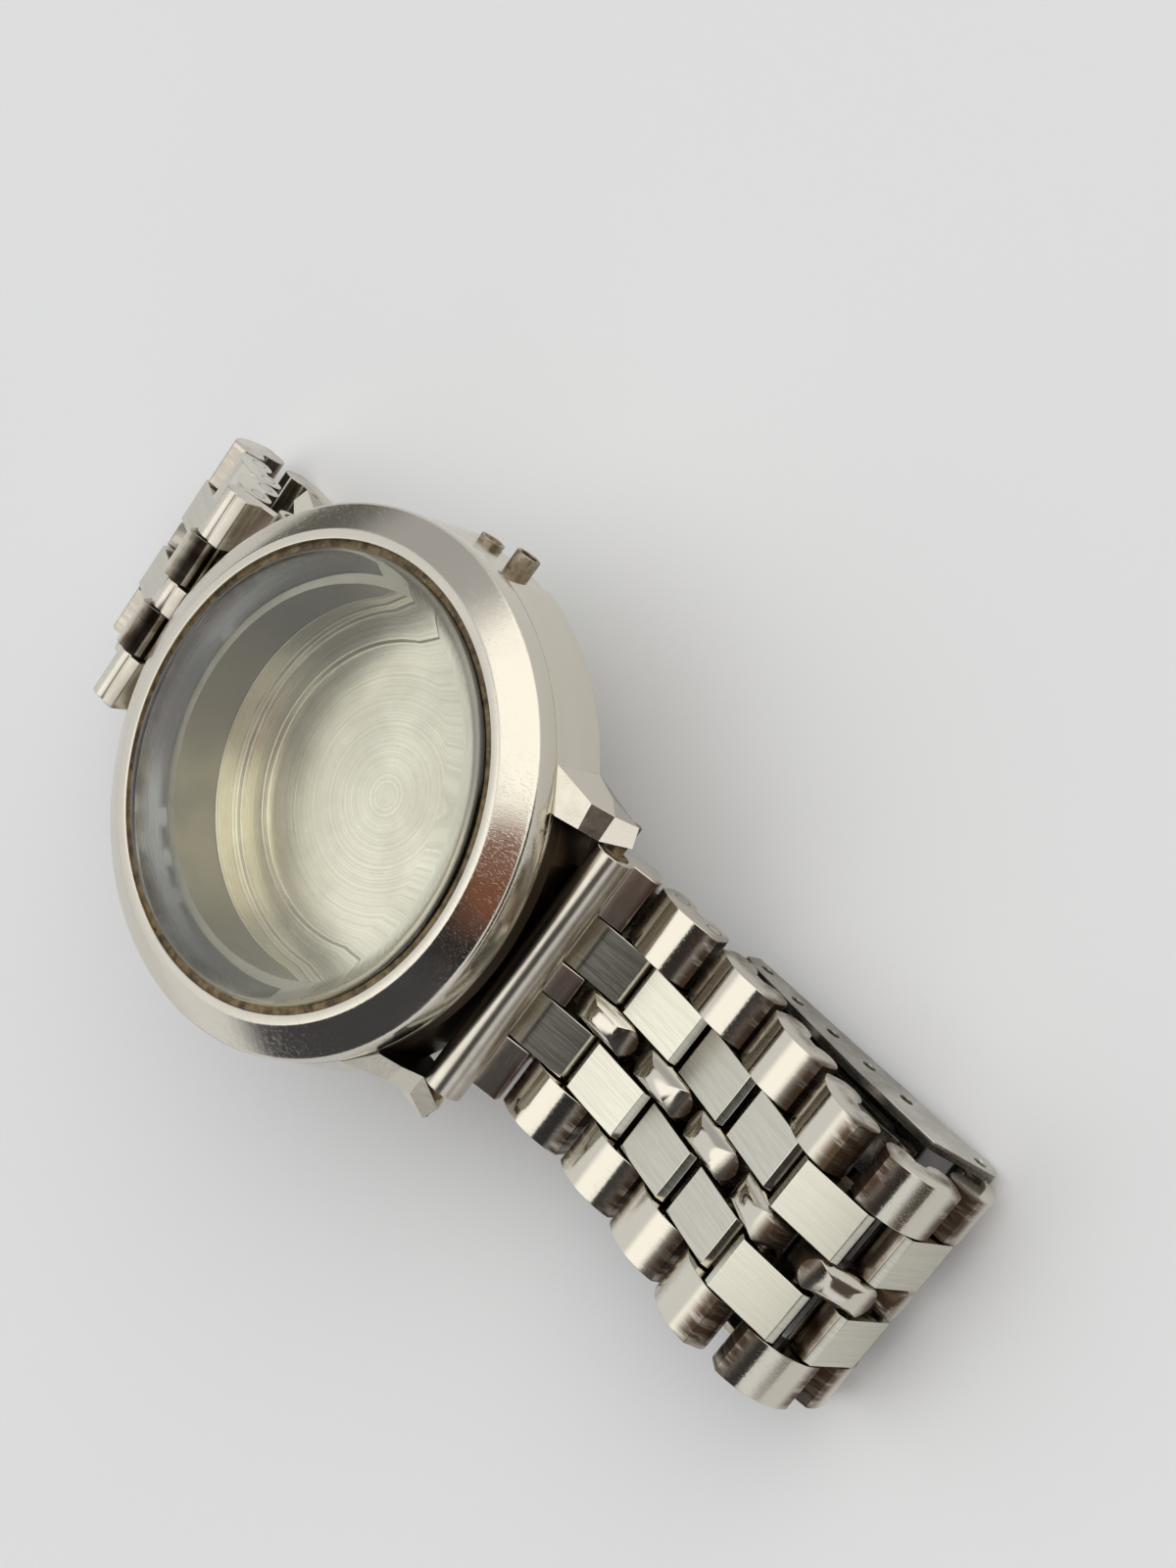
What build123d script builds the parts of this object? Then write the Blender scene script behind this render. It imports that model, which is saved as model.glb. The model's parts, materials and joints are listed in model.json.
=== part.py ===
from build123d import *
import math
import os

# An empty wristwatch case with its steel bracelet and closed folding clasp.
# Millimetres. The origin is the centre of the case back's outer face.
# +X points to 3 o'clock (the crown tube), +Y to 12 o'clock, +Z out through the crystal.
# Side "six" runs towards -Y from the case, side "twelve" towards +Y.

os.makedirs("parts", exist_ok=True)

# Driving dimensions of the case
case_thickness = 11.4
bezel_radius = 19.0
bezel_height = 3.15
bezel_bevel_drop = 1.34
bezel_bevel_width = 2.25
bezel_ring_width = 0.7
side_swell = 0.3
side_height = 4.35
gasket_width = 0.51
crystal_dome = 0.85
crystal_edge_drop = 0.93
case_wall = 5.57
dial_ledge_drop = 2.9
back_inset = 2.0
back_floor = 1.6
lug_width = 20.0
end_tube_stand_off = 0.1
end_tube_drop = 3.95
fit_gap = 0.05
running_gap = 0.05
over = 1.0

# Driving dimensions of the bracelet
half_pitch = 3.05
pin_radius = 0.5
link_top = 1.52
link_under = 1.18
dome_rise = 0.48
dome_edge_drop = 0.5
bead_half_width = 1.2
bead_edge_drop = 0.8
flat_row_edge = 5.1
flat_reach = 1.25
flat_foot = 0.3
row_gap = 0.12
edge_polish = 0.4
lobe_notch = 0.35
side_play = 0.66
clasp_taper = 0.74
end_tube_radius = 1.45
end_tube_wall = 0.5
end_arm = 4.4

# Angles of the half links above level, from each spring bar outwards, in degrees
six_end_angle = -91
twelve_end_angle = 39
six_angles = (-21, -6, -1, 2.5, 12.5, 11.5, 15, 27, -14, -50, -85, -115)
twelve_curl_angles = (-65, -49, -43, -22, -26, -74, -160)
twelve_level_count = 9
twelve_level_angle = -180
twelve_rise_angles = (-190, -200)
twelve_angles = twelve_curl_angles + (twelve_level_angle,) * twelve_level_count + twelve_rise_angles

# Heights, radii and widths that follow
bezel_ring_radius = bezel_radius - bezel_bevel_width
bezel_lip_radius = bezel_ring_radius - bezel_ring_width
crystal_radius = bezel_lip_radius - gasket_width
inner_radius = bezel_radius - case_wall
back_radius = bezel_radius - back_inset
width_at_case = lug_width / 2 - side_play
width_at_clasp = width_at_case - clasp_taper
groove_z = case_thickness - bezel_height
bevel_z = case_thickness - bezel_bevel_drop
side_z = groove_z - side_height
crystal_seat_z = case_thickness - crystal_edge_drop
ledge_z = case_thickness - dial_ledge_drop
side_radius = bezel_radius + side_swell
end_tube_reach = side_radius + end_tube_stand_off
end_tube_height = groove_z - end_tube_drop


def outward(side):
    """The sign of Y that points away from the case on this side."""
    return -1 if side == "six" else 1


def step(side, start, angle, length):
    """The point (y, z) reached from start at an angle above level, away from the case."""
    turn = math.radians(angle)
    return (
        start[0] + outward(side) * length * math.cos(turn),
        start[1] + length * math.sin(turn),
    )


def pins_of(side, end_angle, angles):
    """Every pin centre (y, z) from the end piece to the clasp."""
    tube = (outward(side) * end_tube_reach, end_tube_height)
    pins = [step(side, tube, end_angle, end_arm)]
    for angle in angles:
        pins.append(step(side, pins[-1], angle, half_pitch))
    return pins


def link_plane(side, start, angle):
    """The side view plane of a link: x along it, y to its outer face, origin at its first pin."""
    turn = math.radians(angle)
    sign = outward(side)
    return Plane(
        origin=(0, start[0], start[1]),
        x_dir=(0, sign * math.cos(turn), math.sin(turn)),
        z_dir=(sign, 0, 0),
    )


six_pins = pins_of("six", six_end_angle, six_angles)
twelve_pins = pins_of("twelve", twelve_end_angle, twelve_angles)

# Bezel: a ring with a broad bevel, a flat top ring and a skirt that snaps over the case
skirt_thickness = 1.8
skirt_inner_radius = bezel_radius - skirt_thickness
skirt_depth = 1.15
bezel_seat_width = 0.65
bezel_bore_radius = bezel_lip_radius - bezel_seat_width
with BuildPart() as bezel:
    with BuildSketch(Plane.XZ):
        with BuildLine():
            Polyline(
                (bezel_lip_radius, case_thickness),
                (bezel_ring_radius, case_thickness),
                (bezel_radius, bevel_z),
                (bezel_radius, groove_z),
                (skirt_inner_radius, groove_z),
                (skirt_inner_radius, groove_z + skirt_depth),
                (bezel_bore_radius, groove_z + skirt_depth),
                (bezel_bore_radius, crystal_seat_z),
                (bezel_lip_radius, crystal_seat_z),
                close=True,
            )
        make_face()
    revolve(axis=Axis.Z)
bezel.part.label = "bezel"
export_step(bezel.part, "parts/bezel.step")

# Crystal: a disc with a rounded shoulder and a slight dome
crystal_shoulder_width = 1.11
crystal_shoulder_radius = crystal_radius - crystal_shoulder_width
crystal_shoulder_rise = 0.69
crystal_edge_height = 0.8
shoulder_bulge = 0.16
with BuildPart() as crystal:
    with BuildSketch(Plane.XZ):
        with BuildLine():
            edge_top = (crystal_radius, crystal_seat_z + crystal_edge_height)
            shoulder = (crystal_shoulder_radius, case_thickness + crystal_shoulder_rise)
            middle = (
                (edge_top[0] + shoulder[0]) / 2 + shoulder_bulge,
                (edge_top[1] + shoulder[1]) / 2 + shoulder_bulge,
            )
            crown = (0, case_thickness + crystal_dome)
            Line((0, crystal_seat_z), (crystal_radius, crystal_seat_z))
            Line((crystal_radius, crystal_seat_z), edge_top)
            ThreePointArc(edge_top, middle, shoulder)
            Line(shoulder, crown)
            Line(crown, (0, crystal_seat_z))
        make_face()
    revolve(axis=Axis.Z)
crystal.part.label = "crystal"
export_step(crystal.part, "parts/crystal.step")

# Crystal gasket: fills the groove between the crystal's edge and the bezel's lip
gasket_sink = 0.3
with BuildPart() as crystal_gasket:
    with BuildSketch(Plane.XY.offset(crystal_seat_z)):
        Circle(bezel_lip_radius)
        Circle(crystal_radius, mode=Mode.SUBTRACT)
    extrude(amount=case_thickness - gasket_sink - crystal_seat_z)
crystal_gasket.part.label = "crystal_gasket"
export_step(crystal_gasket.part, "parts/crystal_gasket.step")

# Rehaut ring: the sloping inner flange between the crystal and the dial's ledge
rehaut_radius = bezel_bore_radius - fit_gap
rehaut_lip = 0.2
rehaut_foot = 0.57
rehaut_bottom_radius = inner_radius + rehaut_foot
with BuildPart() as rehaut_ring:
    with BuildSketch(Plane.XZ):
        with BuildLine():
            Polyline(
                (rehaut_radius, ledge_z),
                (rehaut_radius, crystal_seat_z),
                (rehaut_radius - rehaut_lip, crystal_seat_z),
                (rehaut_bottom_radius, ledge_z),
                close=True,
            )
        make_face()
    revolve(axis=Axis.Z)
rehaut_ring.part.label = "rehaut_ring"
export_step(rehaut_ring.part, "parts/rehaut_ring.step")

# Case back: a dished cover whose collar enters the case from below
collar_inset = 2.5
collar_radius = back_radius - collar_inset
back_rim_z = 1.75
back_rim_low_z = 1.1
back_face_inset = 3.8
back_face_radius = back_radius - back_face_inset
bore_step = 0.06
back_bore_radius = inner_radius - bore_step
shelf_inset = 0.5
shelf_radius = inner_radius - shelf_inset
shelf_rise = 0.5
shelf_z = back_floor + shelf_rise
shelf_lip = 0.4
shelf_top_z = shelf_z + shelf_lip
shelf_width = 2.08
recess_radius = shelf_radius - shelf_width
collar_rise = 1.68
collar_top_z = shelf_top_z + collar_rise

# Places of the two brass tubes at 3 o'clock
tube_rise = 2.0
tube_z = shelf_top_z + tube_rise
tube_radius = 0.93
tube_bore_radius = 0.65
crown_tube_proud = 1.1
crown_tube_end_x = bezel_radius + crown_tube_proud
second_tube_y = 3.3
second_tube_proud = 0.2
second_tube_end_x = bezel_radius + second_tube_proud

with BuildPart() as case_back:
    with BuildSketch(Plane.XZ):
        with BuildLine():
            Polyline(
                (0, 0),
                (back_face_radius, 0),
                (back_radius, back_rim_low_z),
                (back_radius, back_rim_z),
                (collar_radius, back_rim_z),
                (collar_radius, collar_top_z),
                (back_bore_radius, collar_top_z),
                (back_bore_radius, shelf_top_z),
                (shelf_radius, shelf_top_z),
                (shelf_radius, shelf_z),
                (recess_radius, shelf_z),
                (recess_radius, back_floor),
                (0, back_floor),
                close=True,
            )
        make_face()
    revolve(axis=Axis.Z)
    # notches in the collar for the winding stem
    with BuildSketch(Plane.YZ.offset(inner_radius - over)):
        with Locations((0, tube_z), (second_tube_y, tube_z)):
            Circle(tube_radius + fit_gap)
    extrude(amount=2 * over + collar_radius - inner_radius, mode=Mode.SUBTRACT)
case_back.part.label = "case_back"
export_step(case_back.part, "parts/case_back.step")

# Mid case: the ring with its four lugs, the seats of bezel, back and tubes
under_inset = 1.2
under_radius = bezel_radius - under_inset
under_z = back_rim_z + fit_gap
collar_bore_radius = collar_radius + fit_gap
snap_radius = skirt_inner_radius - fit_gap
snap_top_z = groove_z + skirt_depth - fit_gap
gasket_groove_inset = 0.7
gasket_groove_width = 0.8
gasket_groove_inner = collar_radius + gasket_groove_inset
gasket_groove_outer = gasket_groove_inner + gasket_groove_width
gasket_groove_depth = 0.5
end_tube_cut_gap = 0.2
between_lugs_drop = 1.25
between_lugs_top_z = groove_z - between_lugs_drop
crown_flat_cut = 0.2
crown_flat_x = bezel_radius - crown_flat_cut
crown_flat_low_y = -2.4
crown_flat_high_y = 5.2

lug_inner_x = lug_width / 2 - fit_gap
lug_thickness = 4.45
lug_root = 7.9
lug_bottom_drop = 5.85
lug_bottom_z = groove_z - lug_bottom_drop
spring_bar_radius = end_tube_radius - end_tube_wall - running_gap
spring_tip_radius = 0.4
spring_tip_length = 2.25
spring_tip_end_x = lug_inner_x + spring_tip_length


def lug_corner(out, along, drop):
    """A corner of one lug: out from its inner face, along from the spring bar, below the groove."""
    return (lug_inner_x + out, end_tube_reach + along, groove_z - drop)


# Corners where the lug's facets meet
lug_crest_rise = 0.05
lug_shoulder_back = 2.9
lug_apex_out = 2.55
lug_apex_back = 5.0
lug_waist_back = 1.97
lug_waist_drop = 1.69
lug_waist_out = 1.75
lug_waist_outer_back = 2.4
lug_waist_outer_drop = 1.85
lug_brow_back = 1.0
lug_brow_drop = 2.48
lug_brow_out = 2.05
lug_brow_outer_back = 0.1
lug_brow_outer_drop = 2.15
lug_tip_drop = 3.85
lug_nose_out = 1.35
lug_nose_reach = 0.9
lug_nose_outer_out = 3.05
lug_nose_outer_reach = 0.6
lug_side_out = 4.25
lug_side_back = 6.1
lug_shoulder = lug_corner(0, -lug_shoulder_back, -lug_crest_rise)
lug_apex = lug_corner(lug_apex_out, -lug_apex_back, -lug_crest_rise)
lug_waist = lug_corner(0, -lug_waist_back, lug_waist_drop)
lug_waist_outer = lug_corner(lug_waist_out, -lug_waist_outer_back, lug_waist_outer_drop)
lug_brow = lug_corner(0, -lug_brow_back, lug_brow_drop)
lug_brow_outer = lug_corner(lug_brow_out, -lug_brow_outer_back, lug_brow_outer_drop)
lug_nose = lug_corner(lug_nose_out, lug_nose_reach, lug_tip_drop)
lug_nose_outer = lug_corner(lug_nose_outer_out, lug_nose_outer_reach, lug_tip_drop)
lug_side_front = lug_corner(lug_side_out, -lug_side_back, lug_tip_drop)


def facet(first, second, third):
    """A plane through three corners, its normal turned to face up and away from the case."""
    a, b, c = Vector(first), Vector(second), Vector(third)
    normal = (b - a).cross(c - a).normalized()
    away = Vector(1, 1, 1)
    if normal.dot(away) < 0:
        normal = normal * -1
    return Plane(origin=a, z_dir=normal)


def lug_block(low_z, high_z, facets):
    """One storey of a lug between two heights, cut by its facets."""
    with BuildPart() as block:
        with BuildSketch(Plane.XY.offset(low_z)):
            with BuildLine():
                Polyline(
                    (lug_inner_x, end_tube_reach - lug_root),
                    (lug_inner_x + lug_thickness, end_tube_reach - lug_root),
                    (lug_side_front[0], lug_side_front[1]),
                    (lug_nose_outer[0], lug_nose_outer[1]),
                    (lug_nose[0], lug_nose[1]),
                    (lug_inner_x, lug_brow[1]),
                    close=True,
                )
            make_face()
        extrude(amount=high_z - low_z)
        for corners in facets:
            split(bisect_by=facet(*corners), keep=Keep.BOTTOM)
    return block.part


# The shoulder stands behind the waist, and the nose in front of it is lower
outer_facet = (lug_apex, lug_brow_outer, lug_nose_outer)
shoulder_facets = ((lug_shoulder, lug_apex, lug_waist), outer_facet)
nose_facets = (
    (lug_waist, lug_waist_outer, lug_brow_outer),
    (lug_brow, lug_brow_outer, lug_nose),
    (lug_brow_outer, lug_nose, lug_nose_outer),
    outer_facet,
)
lug = lug_block(lug_bottom_z, groove_z, shoulder_facets)
lug = lug + lug_block(lug_bottom_z, groove_z, nose_facets)

with BuildPart() as mid_case:
    with BuildSketch(Plane.XZ):
        with BuildLine():
            Polyline(
                (collar_bore_radius, under_z),
                (under_radius, under_z),
                (side_radius, side_z),
                (bezel_radius, groove_z),
                (snap_radius, groove_z),
                (snap_radius, snap_top_z),
                (rehaut_radius + fit_gap, snap_top_z),
                (rehaut_radius + fit_gap, ledge_z),
                (inner_radius, ledge_z),
                (inner_radius, collar_top_z + fit_gap),
                (collar_bore_radius, collar_top_z + fit_gap),
                close=True,
            )
        make_face()
    revolve(axis=Axis.Z)
    add(lug)
    add(lug.mirror(Plane.YZ))
    add(lug.mirror(Plane.XZ))
    add(lug.mirror(Plane.XZ).mirror(Plane.YZ))
    # room for the bracelet's end tubes between the lugs
    cut_y = end_tube_reach - end_tube_radius - end_tube_cut_gap
    with BuildSketch(Plane.XY.offset(under_z - over)):
        with Locations((0, cut_y + lug_root), (0, -cut_y - lug_root)):
            Rectangle(2 * lug_inner_x, 2 * lug_root)
    extrude(amount=between_lugs_top_z - under_z + over, mode=Mode.SUBTRACT)
    # flat beside the crown tube
    with BuildSketch(Plane.XY.offset(side_z)):
        with Locations((crown_flat_x + over, (crown_flat_low_y + crown_flat_high_y) / 2)):
            Rectangle(2 * over, crown_flat_high_y - crown_flat_low_y)
    extrude(amount=groove_z - side_z, mode=Mode.SUBTRACT)
    # groove of the back gasket
    with BuildSketch(Plane.XY.offset(under_z)):
        Circle(gasket_groove_outer)
        Circle(gasket_groove_inner, mode=Mode.SUBTRACT)
    extrude(amount=gasket_groove_depth, mode=Mode.SUBTRACT)
    # holes of the two tubes
    with BuildSketch(Plane.YZ.offset(inner_radius - over)):
        with Locations((0, tube_z), (second_tube_y, tube_z)):
            Circle(tube_radius)
    extrude(amount=side_radius, mode=Mode.SUBTRACT)
    # holes of the spring bars
    with BuildSketch(Plane.YZ.offset(-spring_tip_end_x)):
        with Locations((end_tube_reach, end_tube_height), (-end_tube_reach, end_tube_height)):
            Circle(spring_tip_radius)
    extrude(amount=2 * spring_tip_end_x, mode=Mode.SUBTRACT)
mid_case.part.label = "mid_case"
export_step(mid_case.part, "parts/mid_case.step")

# Back gasket: lies in the groove under the case
with BuildPart() as back_gasket:
    with BuildSketch(Plane.XY.offset(back_rim_z)):
        Circle(gasket_groove_outer)
        Circle(gasket_groove_inner, mode=Mode.SUBTRACT)
    extrude(amount=gasket_groove_depth + fit_gap)
back_gasket.part.label = "back_gasket"
export_step(back_gasket.part, "parts/back_gasket.step")


def case_tube(y, end_x, name):
    """A plain brass tube that is pressed into the side of the case."""
    with BuildPart() as tube:
        with BuildSketch(Plane.YZ.offset(collar_bore_radius)):
            with Locations((y, tube_z)):
                Circle(tube_radius)
                Circle(tube_bore_radius, mode=Mode.SUBTRACT)
        extrude(amount=end_x - collar_bore_radius)
    tube.part.label = name
    export_step(tube.part, f"parts/{name}.step")


case_tube(0, crown_tube_end_x, "crown_tube")
case_tube(second_tube_y, second_tube_end_x, "second_tube")


def spring_bar(side):
    """A bar with a thin tip at each end, held in the holes of two lugs."""
    centre = (outward(side) * end_tube_reach, end_tube_height)
    with BuildPart() as bar:
        with BuildSketch(Plane.YZ.offset(-lug_inner_x + fit_gap)):
            with Locations(centre):
                Circle(spring_bar_radius)
        extrude(amount=2 * (lug_inner_x - fit_gap))
        with BuildSketch(Plane.YZ.offset(-spring_tip_end_x)):
            with Locations(centre):
                Circle(spring_tip_radius)
        extrude(amount=2 * spring_tip_end_x)
    bar.part.label = f"{side}_spring_bar"
    export_step(bar.part, f"parts/{side}_spring_bar.step")


def row_width(side, index):
    """Half the bracelet's width at a half link, narrowing evenly to the clasp."""
    count = len(six_angles) if side == "six" else len(twelve_angles)
    return width_at_case + (width_at_clasp - width_at_case) * index / count


def flat_face(place, bored):
    """Side view of a flat link: level top, bevelled ends, round below its two pins."""
    with BuildSketch(place) as face:
        with BuildLine():
            Polyline(
                (-link_under, 0),
                (-flat_reach, flat_foot),
                (-flat_reach, link_top - edge_polish),
                (edge_polish - flat_reach, link_top),
                (half_pitch + flat_reach - edge_polish, link_top),
                (half_pitch + flat_reach, link_top - edge_polish),
                (half_pitch + flat_reach, flat_foot),
                (half_pitch + link_under, 0),
            )
            RadiusArc((half_pitch + link_under, 0), (half_pitch, -link_under), link_under)
            Line((half_pitch, -link_under), (0, -link_under))
            RadiusArc((0, -link_under), (-link_under, 0), link_under)
        make_face()
        if bored:
            with Locations((0, 0), (half_pitch, 0)):
                Circle(pin_radius + running_gap, mode=Mode.SUBTRACT)
    return face.sketch


def domed_face(place):
    """Side view of an outer link or bead: domed top, and below it a round lobe about each pin."""
    edge = link_top - dome_edge_drop
    lobe = math.sqrt(link_under**2 - lobe_notch**2)
    with BuildSketch(place) as face:
        with BuildLine():
            Line((-link_under, 0), (-link_under, edge))
            ThreePointArc(
                (-link_under, edge),
                (half_pitch / 2, link_top + dome_rise),
                (half_pitch + link_under, edge),
            )
            Line((half_pitch + link_under, edge), (half_pitch + link_under, 0))
            ThreePointArc(
                (half_pitch + link_under, 0),
                (half_pitch, -link_under),
                (half_pitch - lobe, -lobe_notch),
            )
            Line((half_pitch - lobe, -lobe_notch), (lobe, -lobe_notch))
            ThreePointArc((lobe, -lobe_notch), (0, -link_under), (-link_under, 0))
        make_face()
    return face.sketch


def bead(place):
    """A bead: the outer link's side view, rounded at both ends in plan and over its top."""
    along, up = place.x_dir, place.y_dir
    end_radius = bead_half_width
    with BuildPart() as grain:
        extrude(domed_face(place.offset(-bead_half_width)), amount=2 * bead_half_width)
        plan = Plane(origin=place.origin - up * link_under, x_dir=along, z_dir=up)
        with BuildSketch(plan) as outline:
            with Locations((half_pitch / 2, 0)):
                SlotOverall(half_pitch + 2 * link_under, 2 * end_radius)
        extrude(outline.sketch, amount=link_under + link_top + dome_rise, mode=Mode.INTERSECT)
        across = Plane(origin=place.origin - along * link_under, x_dir=place.z_dir, z_dir=along)
        shoulder = link_top + dome_rise - bead_edge_drop
        rise = 1 if (across.y_dir.dot(up)) > 0 else -1
        with BuildSketch(across) as section:
            with BuildLine():
                Polyline(
                    (bead_half_width, rise * shoulder),
                    (bead_half_width, -rise * link_under),
                    (-bead_half_width, -rise * link_under),
                    (-bead_half_width, rise * shoulder),
                )
                ThreePointArc(
                    (-bead_half_width, rise * shoulder),
                    (0, rise * (link_top + dome_rise)),
                    (bead_half_width, rise * shoulder),
                )
            make_face()
        extrude(section.sketch, amount=half_pitch + 2 * link_under, mode=Mode.INTERSECT)
    return grain.part


def flat_link(name, place):
    """A link of the two flat rows, bored to run on the pins of its neighbours."""
    inner = bead_half_width + row_gap
    with BuildPart() as link:
        for low in (inner, -flat_row_edge):
            extrude(flat_face(place.offset(low), bored=True), amount=flat_row_edge - inner)
    link.part.label = name
    export_step(link.part, f"parts/{name}.step")


def domed_link(name, place, outer, far_pin):
    """A link of the outer rows and the centre bead, riveted on its pins."""
    inner = flat_row_edge + row_gap
    with BuildPart() as link:
        for low in (inner, -outer):
            extrude(domed_face(place.offset(low)), amount=outer - inner)
        add(bead(place))
        with BuildSketch(place.offset(-inner)):
            Circle(pin_radius)
            if far_pin:
                with Locations((half_pitch, 0)):
                    Circle(pin_radius)
        extrude(amount=2 * inner)
        if not far_pin:
            with BuildSketch(place.offset(-outer)):
                with Locations((half_pitch, 0)):
                    Circle(pin_radius)
            extrude(amount=2 * outer, mode=Mode.SUBTRACT)
    link.part.label = name
    export_step(link.part, f"parts/{name}.step")


# End piece: a rolled tube that turns on a spring bar, its web and the first three knuckles
web_low = -1.1
web_high = 0.08
web_end_back = 2.1
web_end = end_arm - web_end_back
knuckle_ledge_back = 1.78
knuckle_ledge = end_arm - knuckle_ledge_back
knuckle_brow_back = 0.87
knuckle_brow = end_arm - knuckle_brow_back
knuckle_brow_rise = 1.75


def knuckle_face(place):
    """Side view of one knuckle of an end piece, from the web round the first pin."""
    with BuildSketch(place) as face:
        with BuildLine():
            Polyline(
                (web_end - end_tube_wall, web_low),
                (web_end - end_tube_wall, web_high),
                (knuckle_ledge, web_high),
                (knuckle_brow, knuckle_brow_rise),
                (end_arm, link_top),
                (end_arm, -link_under),
                close=True,
            )
        make_face()
        with Locations((end_arm, 0)):
            Circle(link_under)
    return face.sketch


def end_piece(side, angle):
    """One end piece, hanging from its spring bar at the given angle."""
    tube = (outward(side) * end_tube_reach, end_tube_height)
    place = link_plane(side, tube, angle)
    half = lug_inner_x - fit_gap
    inner = flat_row_edge + row_gap
    with BuildPart() as piece:
        with BuildSketch(place.offset(-half)):
            Circle(end_tube_radius)
        extrude(amount=2 * half)
        with BuildSketch(place.offset(-width_at_case)):
            with Locations((web_end / 2, (web_low + web_high) / 2)):
                Rectangle(web_end, web_high - web_low)
        extrude(amount=2 * width_at_case)
        extrude(knuckle_face(place.offset(-width_at_case)), amount=width_at_case - inner)
        extrude(knuckle_face(place.offset(inner)), amount=width_at_case - inner)
        extrude(knuckle_face(place.offset(-bead_half_width)), amount=2 * bead_half_width)
        with BuildSketch(place.offset(-inner)):
            with Locations((end_arm, 0)):
                Circle(pin_radius)
        extrude(amount=2 * inner)
        with BuildSketch(place.offset(-half)):
            Circle(end_tube_radius - end_tube_wall)
        extrude(amount=2 * half, mode=Mode.SUBTRACT)
    piece.part.label = f"{side}_end_piece"
    export_step(piece.part, f"parts/{side}_end_piece.step")


def bracelet_side(side, pins, angles, end_angle, last_pin):
    """Spring bar, end piece and every half link of one side of the bracelet."""
    spring_bar(side)
    end_piece(side, end_angle)
    for index, angle in enumerate(angles, start=1):
        name = f"{side}_link_{index:02d}"
        place = link_plane(side, pins[index - 1], angle)
        if index % 2 == 1:
            flat_link(name, place)
        else:
            far_pin = last_pin or index < len(angles)
            domed_link(name, place, row_width(side, index), far_pin)


bracelet_side("six", six_pins, six_angles, six_end_angle, last_pin=False)
bracelet_side("twelve", twelve_pins, twelve_angles, twelve_end_angle, last_pin=True)

# Clasp spring bar: in the last link of side six, its tips drawn in beside the cover's walls
clasp_bar_y, clasp_bar_z = six_pins[-1]
with BuildPart() as clasp_spring_bar:
    with BuildSketch(Plane.YZ.offset(-width_at_clasp)):
        with Locations((clasp_bar_y, clasp_bar_z)):
            Circle(pin_radius)
    extrude(amount=2 * width_at_clasp)
clasp_spring_bar.part.label = "clasp_spring_bar"
export_step(clasp_spring_bar.part, "parts/clasp_spring_bar.step")

# Clasp: a channel shaped cover, closed over two hinged blades
cover_wall = 0.6
cover_side_room = 0.9
cover_half_at_bar = width_at_clasp + cover_side_room
cover_half_at_hinge = width_at_clasp
cover_length = 21.6
cover_end_radius = 1.35
cover_start_y = clasp_bar_y - cover_end_radius
cover_end_y = cover_start_y + cover_length
plate_start = 3.44
plate_start_y = clasp_bar_y + plate_start
plate_end_back = 2.91
plate_end_y = cover_end_y - plate_end_back

# Heights of the cover's plate below and above its spring bar
cover_low_drop = 0.95
cover_low_z = clasp_bar_z - cover_low_drop
cover_mid_low_rise = 0.66
cover_mid_low_z = cover_low_z + cover_mid_low_rise
cover_end_low_rise = 0.56
cover_end_low_z = clasp_bar_z + cover_end_low_rise
cover_end_height = 1.55
cover_end_high_z = cover_end_low_z + cover_end_height

# The rim of the side walls: distances back from the cover's end, and rises from its spring bar
rim_end_back = 1.11
rim_end_rise = 2.76
rim_brow_back = 7.01
rim_brow_rise = 3.36
rim_crest_back = 11.51
rim_crest_rise = 3.76
rim_start_reach = 1.64
rim_start_rise = 3.66
cover_rim = (
    (cover_end_y - rim_end_back, clasp_bar_z + rim_end_rise),
    (cover_end_y - rim_brow_back, clasp_bar_z + rim_brow_rise),
    (cover_end_y - rim_crest_back, clasp_bar_z + rim_crest_rise),
    (clasp_bar_y + rim_start_reach, clasp_bar_z + rim_start_rise),
)

# Hinges of the blades, in the cover and at the fold
cover_hinge_back = 1.41
cover_hinge_rise = 1.36
cover_hinge = (cover_end_y - cover_hinge_back, clasp_bar_z + cover_hinge_rise)
blade_hinge_reach = 3.54
blade_hinge_rise = 1.86
blade_hinge = (clasp_bar_y + blade_hinge_reach, clasp_bar_z + blade_hinge_rise)
blade_thickness = 0.8
knuckle_radius = 0.7
knuckle_room = 1.8
hinge_pin_radius = 0.45
blade_side_room = 0.6
blade_half_width = cover_half_at_hinge - cover_wall - blade_side_room

# Row of adjusting holes in the side walls
cover_hole_radius = 0.475
cover_hole_reach = 5.84
cover_hole_rise = 1.11
cover_hole_first = (clasp_bar_y + cover_hole_reach, clasp_bar_z + cover_hole_rise)
cover_hole_step = (3.25, 0.225)
cover_hole_count = 4
plate_end_lift = 0.2
plate_end_z = cover_end_low_z + plate_end_lift
cover_plan_height = 9.0


def cover_plan(half_change):
    """The cover seen from above, narrower at its hinge, moved in or out at the sides."""
    with BuildSketch(Plane.XY.offset(cover_low_z - 2 * over)) as plan:
        with BuildLine():
            Polyline(
                (cover_half_at_bar + half_change, cover_start_y - over),
                (cover_half_at_hinge + half_change, cover_end_y + over),
                (-cover_half_at_hinge - half_change, cover_end_y + over),
                (-cover_half_at_bar - half_change, cover_start_y - over),
                close=True,
            )
        make_face()
    return plan.sketch


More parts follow.
